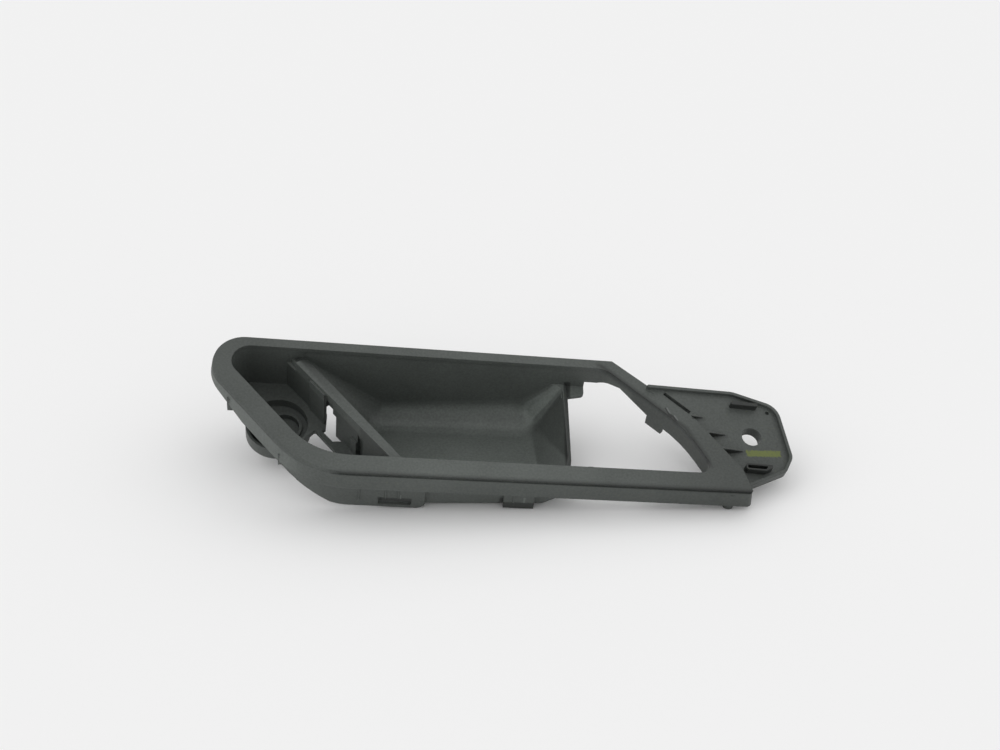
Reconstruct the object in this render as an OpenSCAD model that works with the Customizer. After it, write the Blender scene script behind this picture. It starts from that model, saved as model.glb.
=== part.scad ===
// Trim cover for a car's inner door pull handle: one black plastic moulding.
// A four-sided rim frames a deep finger cup, a small well on the left behind a slanting partition, and
// an open window on the right. A sloped screw flange with an upturned lip stands out past the window.
// It is drawn in the frame of its rim (X along the near edge, Y across, Z out of the rim's face) and
// then turned to lie as it rests: on the flat underside of the cup and on a small foot under the right end.

/* [Rim] */
// length of the near edge, between its two corners drawn sharp
near_edge = 171.4; // [150:0.2:200]
// width of the rim at its right corner, near edge to far edge
rim_width = 60.0; // [54:0.2:70]
// how much the far edge comes nearer to the near edge toward the right, in degrees
far_taper = 1.17; // [0:0.05:3]
// angle between the near edge and the left bar, in degrees
left_angle = 49; // [42:0.5:60]
// visible width of the near bar
near_bar = 8.5; // [6:0.1:12]
// visible width of the near bar along the window
near_bar_right = 7.7; // [6:0.1:12]
// visible width of the far bar
far_bar = 4.4; // [3.4:0.1:8]
// visible width of the left bar
left_bar = 8.3; // [6:0.1:12]
// corner radius outside, far left
far_left_radius = 13.4; // [8:0.1:16]
// corner radius outside, near left
near_left_radius = 38; // [20:1:45]
// rounding of the rim's outer edge, measured across the face
edge_round = 0.35; // [0.2:0.05:0.6]
// the same along the left bar, where it is widest
left_round = 1.6; // [0.4:0.1:2.2]
// thickness of the face of the bars
face_thick = 2.2; // [1.6:0.1:3]
// height of the skirt, from the face down
skirt_height = 9.1; // [8:0.1:12]
// how far the skirt flares out over that height
skirt_flare = 1.0; // [0.4:0.1:1.6]
// how much shallower the skirt is at the far left corner
skirt_rise = 4.7; // [0:0.1:6]
// wall thickness of the skirt
skirt_wall = 2.0; // [1.5:0.1:3]
// depth of the shadow groove along the near bar, under the face
groove_depth = 0.7; // [0.4:0.05:1]
// height of the shadow groove
groove_height = 1.3; // [0.8:0.1:2]
// solid edge left over the groove
groove_top = 0.35; // [0.2:0.05:1]

/* [Slanted bar and window] */
// far right corner of the rim, back from the near right corner
far_corner_back = 52.2; // [44:0.2:60]
// knee in the outer edge of the slanted bar, back from the near right corner
knee_back = 20.5; // [16:0.1:26]
// knee height over the near edge
knee_up = 33.7; // [28:0.1:38]
// last corner of the outer edge, back from the near right corner
toe_back = 3.5; // [2:0.1:6]
// last corner height over the near edge
toe_up = 10.9; // [8:0.1:16]
// knee in the window's slanted edge, back from the near right corner
window_knee_back = 24.6; // [20:0.1:32]
// window knee height over the near edge
window_knee_up = 28.4; // [24:0.1:32]
// slope of the window's edge over its knee, in degrees
window_slope = 41.7; // [36:0.1:46]
// slope of the window's edge under its knee, in degrees
window_steep = 62; // [54:1:70]
// wall thickness round the window
window_wall = 1.6; // [1.2:0.1:2.4]

// depth of the inner wall under the far bar
window_far_depth = 9.4; // [7:0.1:10]
// depth of the inner wall at the window's far corner, where it is least
window_corner_depth = 5.0; // [4:0.1:8]
// depth of the wall under the slanted bar at its tab
window_tab_depth = 10.0; // [9:0.1:13]
// depth of that wall right of its tab
window_near_depth = 9.9; // [8:0.1:13]
// shelf past the cup's end wall, depth of its face under the rim
shelf_drop = 12.7; // [12.2:0.1:15]
// length of the shelf past the end wall
shelf_length = 7.1; // [5:0.1:9]
// width of the shelf
shelf_width = 4.4; // [3:0.1:7]

/* [Finger cup] */
// wall thickness of the cup
cup_wall = 2.0; // [1.6:0.1:3]
// height of the rim's near left corner over the table, the cup resting flat on it
corner_height = 24.2; // [22:0.1:30]
// how far the cup's floor slopes against the rim across, in degrees: deeper at the far side
floor_slope_across = 20; // [10:0.5:24]
// how far the cup's floor slopes against the rim along, in degrees: deeper at the left
floor_slope_along = 4.7; // [2:0.1:8]
// rounding between the far wall and the floor
cove_radius = 8; // [4:0.5:12]
// rounding between the right end wall and the floor
end_radius = 10; // [5:0.5:12]
// inner top corner of the right end wall, along the near edge
end_wall_at = 101.8; // [90:0.2:108]
// depth of the end wall's cut edge under the rim
end_wall_drop = 12.0; // [9:0.5:16]
// lean of the left end wall, under the partition, from upright, in degrees
left_wall_lean = 22; // [12:1:25]
// how far the end wall's near end stands right of its far end
end_wall_skew = 2.2; // [0:0.1:4]
// lean of the end wall from upright, in degrees
end_wall_lean = 20; // [5:1:30]
// inward lean of the far wall, in degrees
far_wall_draft = 2.5; // [1:0.5:6]
// inner face of the cup's near wall, from the rim's near edge
cup_near = 3.0; // [2.8:0.1:6]

/* [Partition and well] */
// far end of the partition's crest, along the near edge
crest_far = -10.2; // [-14:0.1:-4]
// near end of the partition's crest, along the near edge
crest_near = 38.6; // [30:0.1:50]
// thickness of the partition at its near end
partition_thick = 3.2; // [2:0.1:4]
// thickness of the partition at its far end, with the chamfer
partition_far_thick = 5.0; // [4:0.1:6]
// depth of the crest under the rim
crest_drop = 3.8; // [2:0.1:8]
// width of the flat along the crest at its far end, where the cup side is chamfered
crest_flat = 1.1; // [0.6:0.1:2]
// height of the crest, as thick as the partition; the wall under it is thinner
crest_height = 5.0; // [4:0.1:8]
// thickness of the wall under the crest
partition_wall = 2.0; // [1.6:0.1:2.4]
// fall of the crest toward the cup at its far end, in degrees
crest_fall = 20; // [5:1:32]
// depth of the gap between the crest's end and the far wall
gap_depth = 5.3; // [1:0.1:6]
// length of that gap
gap_length = 5.8; // [1:0.1:8]
// start of the cut through the partition, from its far end
cut_from = 25.0; // [22:0.2:27]
// end of the cut
cut_to = 31.2; // [29:0.2:34]
// depth of the cut's top under the crest
cut_drop = 9.1; // [6:0.1:12]
// start of the slot in the partition, from its far end
slot_from = 44.6; // [38:0.2:48]
// width of the slot
slot_width = 3.2; // [2:0.1:4]
// depth of the near wall of the well
well_depth = 21.9; // [18:0.1:23]
// wall of the well set in from the skirt
well_inset = 0.2; // [0.1:0.1:1]
// right end of the well's near wall
well_right = 46.6; // [40:0.2:50]
// depth of the well's floor under the rim
well_floor = 24; // [20:0.5:28]
// thickness of the well's floor
well_floor_thick = 2.0; // [1.6:0.1:3]
// round pan in the well's floor, along the near edge
hub_x = -12.5; // [-15:0.1:-10]
// pan across
hub_y = 38.5; // [36:0.1:41]
// outer radius of the pan
hub_radius = 12.9; // [11:0.1:14]
// inner radius of the pan
hub_hole_radius = 11.8; // [10:0.1:12.8]
// depth of the pan below the well's floor
hub_drop = 4.0; // [3:0.1:6]
// inner radius of the ring socket in the pan
socket_radius = 6.0; // [4.5:0.1:7]
// wall of the ring socket
socket_wall = 1.2; // [0.8:0.1:1.6]
// width of the strut across the well's floor opening
strut_width = 2.8; // [2:0.1:4]

/* [Clips and foot] */
// left end of the first clip slot in the near wall of the well, along the near edge
clip_slot_at = 28.6; // [24:0.2:34]
// length of the clip slot
clip_slot_length = 12.6; // [8:0.2:16]
// depth of the clip slot's top and of its lower edge under the rim
clip_slot_top = 17.6; // [15:0.1:19]
// lower edge of the clip slot
clip_slot_bottom = 20.5; // [19.5:0.1:21.5]
// left end of the clip under the near bar, along the near edge
clip_at = 76.7; // [70:0.2:82]
// length of that clip
clip_length = 11.8; // [8:0.2:14]
// depth of its lower edge under the rim
clip_drop = 18.4; // [14:0.1:18.4]
// distance of the clip's outer face past the rim's near edge
clip_out = 0.2; // [0:0.1:1.2]
// thickness of the clip
clip_thick = 1.8; // [1.4:0.1:2.6]
// depth of the far lug under the left bar
far_lug_drop = 11.1; // [10:0.1:12]
// depth of the near lug under the left bar
near_lug_drop = 11.4; // [10.5:0.1:12]
// small foot under the right end, along the near edge
foot_at = 163.6; // [160:0.2:167]
// diameter of the foot
foot_size = 3.8; // [3:0.1:5]
// length of the tab under the slanted bar
tab_length = 7.8; // [6:0.1:13]
// depth of the tab's lower edge under the rim
tab_drop = 14.0; // [12:0.1:16]

/* [Screw flange] */
// depth of the flange's face under the rim, at the screw hole
flange_drop = 4.7; // [4:0.1:7]
// slope of the flange against the rim along, in degrees
flange_slope = 4.9; // [2:0.1:8]
// slope of the flange against the rim across, in degrees
flange_cross = 5.5; // [3:0.1:7]
// thickness of the flange
flange_thick = 2.5; // [2:0.1:3.5]
// height of the lip over the flange's face
lip_height = 1.5; // [1:0.1:3]
// thickness of the lip
lip_wall = 1.2; // [1:0.1:2]
// overhang of the flange past the rim's near right corner
flange_reach = 18.2; // [15:0.2:22]
// screw hole diameter
screw_hole = 7.8; // [6:0.1:9]
// screw hole past the rim's near right corner
hole_past = 2.4; // [0:0.1:5]
// screw hole over the near edge
hole_up = 29.1; // [26:0.1:32]
// collar under the screw hole, diameter
collar = 12.4; // [11:0.1:14]
// depth of the collar under the flange's face
collar_depth = 5.0; // [4:0.1:6]
// height of the two locating ribs on the flange
rib_height = 3.2; // [1.2:0.1:4]
// length of the locating ribs
rib_length = 10.8; // [9.5:0.1:12]
// thickness of the far locating rib
far_rib_thick = 1.5; // [1:0.1:2.4]
// width of the hollow near locating rib
near_rib_thick = 2.8; // [2.4:0.1:3.6]
// wall round the hollow of the near rib
near_rib_wall = 0.7; // [0.5:0.1:0.9]
// near face of the near rib, over the near edge
near_rib_up = 12.6; // [11:0.1:14]
// near face of the far rib, over the near edge
far_rib_up = 41.4; // [40:0.1:43]
// diameter of the dimple by the far rib
dimple = 1.5; // [1:0.1:2]
// depth of the dimple
dimple_depth = 1.2; // [0.6:0.1:1.6]
// thickness of the small gussets between the slanted bar and the flange
gusset_thick = 1.0; // [0.8:0.1:1.6]
// reach along the rim of the near gusset, from the slanted bar to its tip
near_gusset_run = 9.1; // [6:0.1:10]
// reach along the rim of the middle gusset
middle_gusset_run = 7.1; // [5:0.1:8]
// reach along the rim of the far gusset
far_gusset_run = 5.4; // [4:0.1:7]
// width of the slot in the flange beside the slanted bar
slit_width = 1.4; // [1:0.1:2]

/* [Part] */
// which piece is drawn

/* [Hidden] */
// largest turn between two points of a rounded corner, in degrees
arc_step = 6;
// overlap of pieces that are joined, and of cutters past a surface
eps = 0.2;
// depth that is below everything, for cutters and walls that are trimmed later
deep = 70;
// facets of the cup's rounded corners, and of true round holes
ball_fn = 44;
bore_fn = 72;

function unit(v) = v / norm(v);
function cross2(a, b) = a.x * b.y - a.y * b.x;

// points of one rounded corner b, coming from a and leaving to c, turning left
function rounded_corner(a, b, c, r) =
    let (u = unit(a - b), v = unit(c - b))
    let (half = acos(u * v) / 2, middle = b + unit(u + v) * r / sin(half))
    let (start = b + u * r / tan(half) - middle, turn = 180 - 2 * half)
    let (first = atan2(start.y, start.x), n = max(1, ceil(turn / arc_step)))
    [for (i = [0:n]) middle + r * [cos(first + turn * i / n), sin(first + turn * i / n)]];

// a left-turning outline with rounded corners
function rounded(points, radii) =
    let (n = len(points))
    [for (i = [0:n - 1]) each
        rounded_corner(points[(i + n - 1) % n], points[i], points[(i + 1) % n], max(0.05, radii[i]))];

// the same outline with each edge moved in by its own distance; edge i runs from point i to the next
function moved_in(points, by) =
    let (n = len(points))
    [for (i = [0:n - 1])
        let (p = points[i], d1 = unit(p - points[(i + n - 1) % n]), d2 = unit(points[(i + 1) % n] - p))
        let (n1 = [-d1.y, d1.x], n2 = [-d2.y, d2.x], a1 = by[(i + n - 1) % n], a2 = by[i])
        p + [a1 * n2.y - a2 * n1.y, n1.x * a2 - n2.x * a1] / cross2(n1, n2)];

function same(value, n) = [for (i = [1:n]) value];
function less(radii, by) = [for (r = radii) max(0.2, r - by)];

// rim: near left, near right, toe, knee, far right and far left corners, drawn sharp
far_corner = [near_edge - far_corner_back, rim_width];
far_run = [cos(far_taper), -sin(far_taper)];
left_run = [-cos(left_angle), sin(left_angle)];
far_left = left_run * cross2(far_corner, far_run) / cross2(left_run, far_run);
rim = [
    [0, 0],
    [near_edge, 0],
    [near_edge - toe_back, toe_up],
    [near_edge - knee_back, knee_up],
    far_corner,
    far_left
];
rim_radii = [near_left_radius, 1, 8, 15, 1.5, far_left_radius];
rim_outline = rounded(rim, rim_radii);
// depth at which the flare starts, under the groove
edge = groove_top + groove_height;

// opening inside the bars, and the window's slanted edge
window_knee = [near_edge - window_knee_back, window_knee_up];
window_near = [window_knee.x + (window_knee_up - near_bar_right) / tan(window_steep), near_bar_right];
window_run = [-cos(window_slope), sin(window_slope)];
far_inner = far_corner + [0, -far_bar / cos(far_taper)];
window_far = window_knee
    + window_run * cross2(far_inner - window_knee, far_run) / cross2(window_run, far_run);
inner_left = moved_in(
    [[0, 0], [near_edge, 0], far_corner, far_left],
    [near_bar, near_bar, far_bar, left_bar]);
opening = [inner_left[0], window_near, window_knee, window_far, inner_left[3]];
opening_radii = [30, 4, 60, 9, far_left_radius - 6.1];
opening_outline = rounded(opening, opening_radii);
window_wall_outline =
    rounded(moved_in(opening, same(-window_wall, 5)), [for (r = opening_radii) r + window_wall]);

// partition: far and near points of its left face on the rim's plane
far_edge_at = function (x) far_inner.y + (far_corner.x - x) * tan(far_taper);
part_far = [crest_far, far_edge_at(crest_far)];
part_near = [crest_near, 2 * skirt_wall];
part_run = unit(part_near - part_far);
part_side = [-part_run.y, part_run.x];
part_length = norm(part_near - part_far);

// flange, drawn on its own sloped plane through the screw hole
hole_at = [near_edge + hole_past, hole_up];
flange_right = near_edge + flange_reach;
flange = [
    [near_edge - 40, 31],
    [near_edge - 10, 3],
    [near_edge + 0.8, 6.6],
    [near_edge + 15.2, 14.0],
    [flange_right, 20.6],
    [flange_right - 4.8, 43.2],
    [near_edge - 4.8, 48.2],
    [near_edge - 39.5, 47.9]
];
flange_radii = [1, 1, 1, 3.5, 5, 8, 10, 1];
// direction along the slanted bar's outer edge, from its far end to the knee, and out of it
slant_run = unit(rim[3] - far_corner);
slant_out = [-slant_run.y, slant_run.x];

// turns the rim's frame into the resting one: the cup's underside flat on the table, the part centred
module resting() {
    translate([-centre.x, -centre.y, corner_height])
        rotate([floor_slope_across, 0, 0])
            rotate([0, floor_slope_along, 0])
                children();
}

// turns a piece drawn over the table into the rim's frame
module from_table() {
    rotate([0, -floor_slope_along, 0])
        rotate([-floor_slope_across, 0, 0])
            translate([0, 0, -corner_height])
                children();
}

// a wall or plate standing on an outline, between two depths under the rim
module slab(outline, low, high) {
    translate([0, 0, low])
        linear_extrude(high - low)
            polygon(outline);
}

// everything over the table
module over_table() {
    from_table()
        translate([-100, -100, 0])
            cube([400, 300, 120]);
}

// a prism along Y over the whole part, from points given along X and Z
module across(points) {
    translate([0, 150, 0])
        rotate([90, 0, 0])
            linear_extrude(300)
                polygon(points);
}

// a cuboid along the partition: from and to along its run, out from its left face, and heights
module along_partition(from, to, out_from, out_to, low, high) {
    slab([
        part_far + part_run * from + part_side * out_from,
        part_far + part_run * to + part_side * out_from,
        part_far + part_run * to + part_side * out_to,
        part_far + part_run * from + part_side * out_to
    ], low, high);
}

function flared_outline(by) =
    rounded(moved_in(rim, same(by - skirt_flare, 6)), less(rim_radii, by - skirt_flare));

// the solid between the rim's outline, moved in by some amount, and the same flared below
module flared(by, low, high) {
    hull() {
        slab(rounded(moved_in(rim, same(by, 6)), less(rim_radii, by)), high - 0.3, high);
        slab(flared_outline(by), low, low + 0.1);
    }
}

// the face down to the end of its edge's rounding, in two steps; the rounding is widest along the left bar
module rounded_face() {
    round_in = [edge_round / 2, edge_round / 2, edge_round, edge_round, edge_round, left_round];
    shares = [[1, 0], [0.29, 0.29], [0, 1]];
    for (i = [0, 1])
        hull()
            for (share = [shares[i], shares[i + 1]]) {
                depth = left_round * share[1];
                slab(rounded(moved_in(rim, round_in * share[0]), less(rim_radii, left_round * share[0])),
                    -depth - 0.05, -depth);
            }
}

// the bars' face, and the skirt round them
module rim_body() {
    difference() {
        union() {
            rounded_face();
            slab(rim_outline, -edge, -left_round);
            flared(0, -skirt_height, -edge + 0.3);
        }
        flared(skirt_wall, -skirt_height - 0.5, -face_thick);
        slab(opening_outline, -deep, eps);
        translate([4, -1, -edge])
            cube([near_edge - 4.6, 1 + groove_depth, groove_height]);
        // the skirt grows shallower round the far left corner
        across([
            [far_left.x - 20, -deep],
            [far_left.x - 20, -skirt_height + skirt_rise],
            [far_left.x + 15.4, -skirt_height + skirt_rise],
            [far_left.x + 30, -skirt_height],
            [far_left.x + 30, -deep]
        ]);
    }
}

// the wall that hangs from the opening's edge round the window; its lower edge rises to the far corner
module window_wall_ring() {
    intersection() {
        difference() {
            slab(window_wall_outline,
                -deep, -face_thick + eps);
            slab(opening_outline, -deep - eps, eps);
        }
        across([
            [end_wall_at - 2, 0],
            [end_wall_at - 2, -window_far_depth],
            [window_far.x - 2.4, -window_far_depth],
            [window_far.x + 6.2, -window_corner_depth],
            [window_knee.x + window_run.x * 14, -window_tab_depth],
            [window_knee.x + window_run.x * 10.4, -window_near_depth],
            [near_edge, -window_near_depth],
            [near_edge, 0]
        ]);
    }
}

// a clip tab under the slanted wall, and the shelf between the end wall and the far wall
module window_fittings() {
    tab_middle = window_knee + window_run * (18 - tab_length / 2);
    translate([tab_middle.x, tab_middle.y, -tab_drop])
        rotate(180 - window_slope)
            translate([-tab_length / 2, -window_wall, 0])
                cube([tab_length, window_wall, tab_drop - face_thick]);
    slab(rounded([
        [end_wall_at - 2, far_edge_at(end_wall_at) - shelf_width - cup_wall],
        [end_wall_at + shelf_length, far_edge_at(end_wall_at) - shelf_width],
        [end_wall_at + shelf_length, far_edge_at(end_wall_at) + 0.8],
        [end_wall_at - 2, far_edge_at(end_wall_at) + 0.8]
    ], [0.5, 1.6, 0.3, 0.3]), -shelf_drop - 1.4, -shelf_drop);
    // web that carries the shelf from the far bar
    web_from = end_wall_at - 2;
    web_to = end_wall_at + shelf_length;
    slab([
        [web_from, far_edge_at(web_from)],
        [web_to, far_edge_at(web_to)],
        [web_to, far_edge_at(web_to) + 1.2],
        [web_from, far_edge_at(web_from) + 1.2]
    ], -shelf_drop - 1.2, -face_thick + eps);
}

// the hollow of the cup, or with grow its outside; the hull runs from four balls on the floor to the rim
module cup_shape(grow) {
    far_y = function (x) far_edge_at(x) + grow;
    lean = tan(end_wall_lean);
    end_top = end_wall_at + end_wall_drop * lean + grow;
    left_far = part_far + part_side * (crest_flat - grow);
    left_near = part_near + part_side * (partition_thick - grow);
    hull() {
        translate([0, 0, -1])
            linear_extrude(1.2)
                polygon([
                    left_near,
                    [left_near.x + 3, cup_near - grow],
                    [end_top + end_wall_skew, cup_near - grow],
                    [end_top, far_y(end_top)],
                    [left_far.x + 3, far_y(crest_far)],
                    left_far
                ]);
        for (c = cup_balls)
            from_table()
                translate([c[0], c[1], c[2] + cup_wall])
                    sphere(r = c[2] + grow, $fn = ball_fn);
    }
}

// depth of the table under a point of the rim's plane, along the rim's own Z
function corner_depth(x, y) =
    corner_height / (cos(floor_slope_across) * cos(floor_slope_along))
    - x * tan(floor_slope_along) + y * tan(floor_slope_across) / cos(floor_slope_along);

// where a point given in the rim's frame lies over the table
function on_table(x, y, z) =
    let (u = x * cos(floor_slope_along) + z * sin(floor_slope_along))
    let (w = z * cos(floor_slope_along) - x * sin(floor_slope_along))
    [u, y * cos(floor_slope_across) - w * sin(floor_slope_across)];

// the cup's four rounded bottom corners: place over the table, and radius
far_foot = function (x) far_edge_at(x) - (corner_depth(x, 45) - cove_radius) * tan(far_wall_draft);
end_foot = function (y) end_wall_at - (corner_depth(100, y) - end_wall_drop) * tan(end_wall_lean);
// left end of the cup's floor at its far side, at a distance across
left_foot = function (y, r)
    part_far.x + (part_far.y - y) * part_run.x / -part_run.y
    + (crest_flat + 0.8 + (corner_depth(0, y) - r) * tan(left_wall_lean)) / part_side.x + r;
near_radius = 3;
function ball(x, y, r) =
    let (q = on_table(x, y, -corner_depth(x, y) + r))
    [q.x, q.y, r];
far_ball_y = far_foot(0) - cove_radius;
cup_balls = [
    ball(end_foot(45) - end_radius, far_foot(end_foot(45)) - end_radius, end_radius),
    ball(left_foot(far_ball_y, cove_radius), far_ball_y, cove_radius),
    ball(crest_near + partition_thick + near_radius, cup_near + near_radius, near_radius),
    ball(end_foot(5) - end_radius + end_wall_skew, cup_near + near_radius, near_radius)
];

// where a point of the flange, at a height over its face, lies in the rim's frame
function flange_point(p, h) =
    let (d = p - hole_at)
    let (x = d.x * cos(flange_slope) + h * sin(flange_slope))
    let (z = h * cos(flange_slope) - d.x * sin(flange_slope))
    [
        hole_at.x + x,
        hole_at.y + d.y * cos(flange_cross) - z * sin(flange_cross),
        d.y * sin(flange_cross) + z * cos(flange_cross) - flange_drop
    ];

// the part's four outermost places over the table: skirt at the left, flange at the right, near bar, cup
left_share = (skirt_height - skirt_rise - edge) / (skirt_height - edge);
left_most = min([for (p = rim_outline) p.x]) * (1 - left_share)
    + min([for (p = flared_outline(0)) p.x]) * left_share;
low_x = on_table(left_most, 0, skirt_rise - skirt_height).x;
high_x = max([
    for (p = rounded(flange, flange_radii), h = [-flange_thick, lip_height])
        let (q = flange_point(p, h)) on_table(q.x, q.y, q.z).x
]);
low_y = min([for (p = rim_outline) on_table(p.x, p.y, 0).y]);
high_y = max([for (c = cup_balls) c[1] + c[2] + cup_wall]);
centre = [(low_x + high_x) / 2, (low_y + high_y) / 2];

// the cup's shell, open to the window over its end wall
module cup_shell() {
    difference() {
        intersection() {
            cup_shape(cup_wall);
            slab([
                part_far + part_side * 0.5,
                part_near + part_side * 0.5,
                [part_near.x, -5],
                [near_edge, -5],
                [near_edge, rim_width + 10],
                part_far + [0, 10]
            ], -deep, -0.6);
        }
        cup_shape(0);
        // the end wall stops at its cut edge, which slopes down outward
        intersection() {
            across([
                [end_wall_at - 12, 3],
                [end_wall_at - 12, -end_wall_drop],
                [end_wall_at, -end_wall_drop],
                [end_wall_at + 12, -end_wall_drop - 9],
                [end_wall_at + 50, -end_wall_drop - 9],
                [end_wall_at + 50, 3]
            ]);
            translate([0, near_bar, -deep])
                cube([near_edge, far_edge_at(end_wall_at) - near_bar, deep + 10]);
        }
        // over the crest the shell stays clear
        along_partition(-1, part_length + 1, -3, partition_far_thick, -crest_drop, 5);
        crest_gap();
    }
}

// gap between the crest's end and the far wall
module crest_gap() {
    intersection() {
        along_partition(-4, gap_length, -3, partition_far_thick, -crest_drop - gap_depth, 5);
        slab([
            [crest_far - 20, 0],
            [crest_near, 0],
            [crest_near, far_edge_at(crest_near) + 0.35],
            [crest_far - 20, far_edge_at(crest_far - 20) + 0.35]
        ], -deep, 6);
    }
}

// the partition between cup and well, from the far wall to the near one
module partition() {
    body_from = 5;
    low = -well_floor - well_floor_thick;
    far_thick = partition_far_thick
        - body_from / part_length * (partition_far_thick - partition_thick);
    cut_corner = part_far + part_run * cut_from;
    fade = partition_far_thick - crest_flat
        - cut_from / part_length * (partition_far_thick - partition_thick);
    difference() {
        union() {
            // the crest: a thin rail at the far end, then its full thickness
            slab([
                part_far - part_run * 2,
                part_near,
                part_near + part_side * partition_thick,
                part_far + part_run * body_from + part_side * far_thick,
                part_far + part_run * body_from + part_side * crest_flat,
                part_far - part_run * 2 + part_side * crest_flat
            ], -crest_drop - crest_height, -crest_drop);
            // the thinner wall under it
            slab([
                part_far - part_run * 2,
                part_near,
                part_near + part_side * partition_wall,
                part_far - part_run * 2 + part_side * partition_wall
            ], low, -crest_drop - crest_height + eps);
        }
        crest_gap();
        // the cup side of the crest falls away at its far end, and less and less toward the cut
        translate([part_far.x, part_far.y, -crest_drop])
            rotate(atan2(part_run.y, part_run.x))
                translate([0, crest_flat, 0])
                    rotate(atan2(fade, cut_from))
                        rotate([-crest_fall, 0, 0])
                            translate([-3, 0, 0])
                                cube([cut_from + 12, 9, 9]);
        // cut to the floor
        along_partition(cut_from, cut_to, -1, partition_far_thick + 1, -deep, -crest_drop - cut_drop);
        // the cut's far jamb runs straight back
        slab([
            cut_corner,
            cut_corner + part_side * (partition_wall + 0.6),
            cut_corner + [0, (partition_wall + 0.6) / part_side.y]
        ], -deep, -crest_drop - crest_height);
        // dark recess over the cut
        along_partition(cut_from, cut_from + 4.2, -1, partition_wall - 0.6,
            -crest_drop - cut_drop - eps, -crest_drop - 1.6);
        // narrow slot beside the fin
        along_partition(slot_from, slot_from + slot_width, -1, partition_wall - 0.8,
            -deep, -crest_drop - 6.6);
    }
    along_partition(slot_from - 3.4, slot_from, -0.9, 0.5, low, -crest_drop - 11.4);
    // pilaster on the well's side
    along_partition(cut_from - 9.6, cut_from - 0.4, -0.8, 0.5, low, -crest_drop - 1.2);
}

// the outside of the well's near wall, under the skirt: its lower edge rises to the left
module well_near_wall() {
    outer = rounded(moved_in(rim, same(well_inset, 6)), less(rim_radii, well_inset));
    inner = rounded(
        moved_in(rim, same(well_inset + skirt_wall, 6)),
        less(rim_radii, well_inset + skirt_wall));
    difference() {
        intersection() {
            difference() {
                slab(outer, -deep, -skirt_height + eps);
                slab(inner, -deep - 1, 0);
            }
            across(rounded([
                [-15.5, -skirt_height + 1],
                [-15.5, -skirt_height],
                [-6, -13.5],
                [1.6, -16.4],
                [10.2, -21.4],
                [15, -well_depth],
                [well_right, -well_depth],
                [well_right, -skirt_height + 1]
            ], [0.1, 0.1, 20, 20, 6, 8, 3.4, 0.1]));
        }
        // clip slot
        translate([clip_slot_at, -1, -clip_slot_bottom])
            cube([clip_slot_length, 2.2 + well_inset, clip_slot_bottom - clip_slot_top]);
        translate([clip_slot_at, -1, -clip_slot_top - eps])
            cube([1.4, 2.2 + well_inset, 1.8 + eps]);
    }
    // faint upright ribs on the wall
    for (x = [clip_slot_at - 7.6, clip_slot_at + 2.6, clip_slot_at + 7.4])
        translate([x, well_inset - 0.35, -clip_slot_top])
            cube([0.6, 0.6, clip_slot_top - skirt_height]);
}

// walls of the well under the opening's edge, left of the partition, and its far wall
module well_walls() {
    intersection() {
        difference() {
            slab(window_wall_outline,
                -well_floor - well_floor_thick, -face_thick + eps);
            slab(opening_outline, -deep, eps);
        }
        slab([
            [-60, hub_y - hub_radius],
            [hub_x - 3, hub_y - hub_radius],
            part_far + part_side,
            part_far + part_side + [0, 12],
            [-60, 80]
        ], -deep, 0);
    }
}

// floor of the well with its two openings, the strut between them and the hub
module well_bottom() {
    corner = [6.5, 37.1];
    difference() {
        union() {
            intersection() {
                slab(window_wall_outline,
                    -well_floor - well_floor_thick, -well_floor);
                slab([
                    [-50, hub_y - 9],
                    [hub_x, hub_y - 11],
                    [hub_x + 12.6, hub_y - 5],
                    [hub_x + 14.4, hub_y - 2.8],
                    [corner.x - 1.4, corner.y - 1.2],
                    corner,
                    corner + [0.2, 10],
                    [corner.x + 0.2, 75],
                    [-50, 75]
                ], -deep, 0);
                slab([
                    part_near + part_side * partition_thick,
                    part_far + part_side * partition_thick,
                    part_far + [0, 20],
                    [-60, 80],
                    [-60, -10],
                    [part_near.x, -10]
                ], -deep, 0);
            }
            // strut from the floor's corner toward the near wall, and the floor beside the partition
            slab([
                [corner.x - 3.2 - strut_width * 0.36, corner.y - 0.8],
                [hub_x + 34.7, 13],
                part_near + part_side - part_run * 12.4,
                [part_near.x + 0.6 - (31.2 - part_near.y) * part_run.x / -part_run.y, 31.2],
                [corner.x + 4.5, 31.2],
                [corner.x + 3.1, 31.0],
                [corner.x - 1.4, corner.y - 1.2]
            ], -well_floor - well_floor_thick, -well_floor);
            // step up to the near wall
            slab([
                [hub_x + 32.9, 15],
                [hub_x + 44, 1.2],
                part_near + part_side + [0, -2],
                part_near + part_side - part_run * 15
            ], -well_floor + 0.8, -well_floor + well_floor_thick + 0.6);
            slab([
                [hub_x + 32.9, 15],
                [hub_x + 34.7, 13],
                part_near + part_side - part_run * 12.4,
                part_near + part_side - part_run * 15
            ], -well_floor - well_floor_thick, -well_floor + well_floor_thick + 0.6);
            translate([hub_x, hub_y, -well_floor - hub_drop - well_floor_thick])
                cylinder(r = hub_radius, h = hub_drop + well_floor_thick, $fn = bore_fn);
        }
        translate([hub_x, hub_y, -well_floor - hub_drop])
            cylinder(r = hub_hole_radius, h = hub_drop + 1, $fn = bore_fn);
        translate([hub_x + 2.3, hub_y + 0.6, -deep])
            cylinder(r = socket_radius + socket_wall / 2, h = deep - well_floor, $fn = bore_fn);
    }
    // ring socket standing in the pan
    translate([hub_x + 2.3, hub_y + 0.6, -well_floor - hub_drop - well_floor_thick - 0.8])
        difference() {
            cylinder(r = socket_radius + socket_wall, h = well_floor_thick + 2, $fn = bore_fn);
            translate([0, 0, 1.4])
                cylinder(r = socket_radius, h = well_floor_thick + 2, $fn = bore_fn);
        }
}

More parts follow.
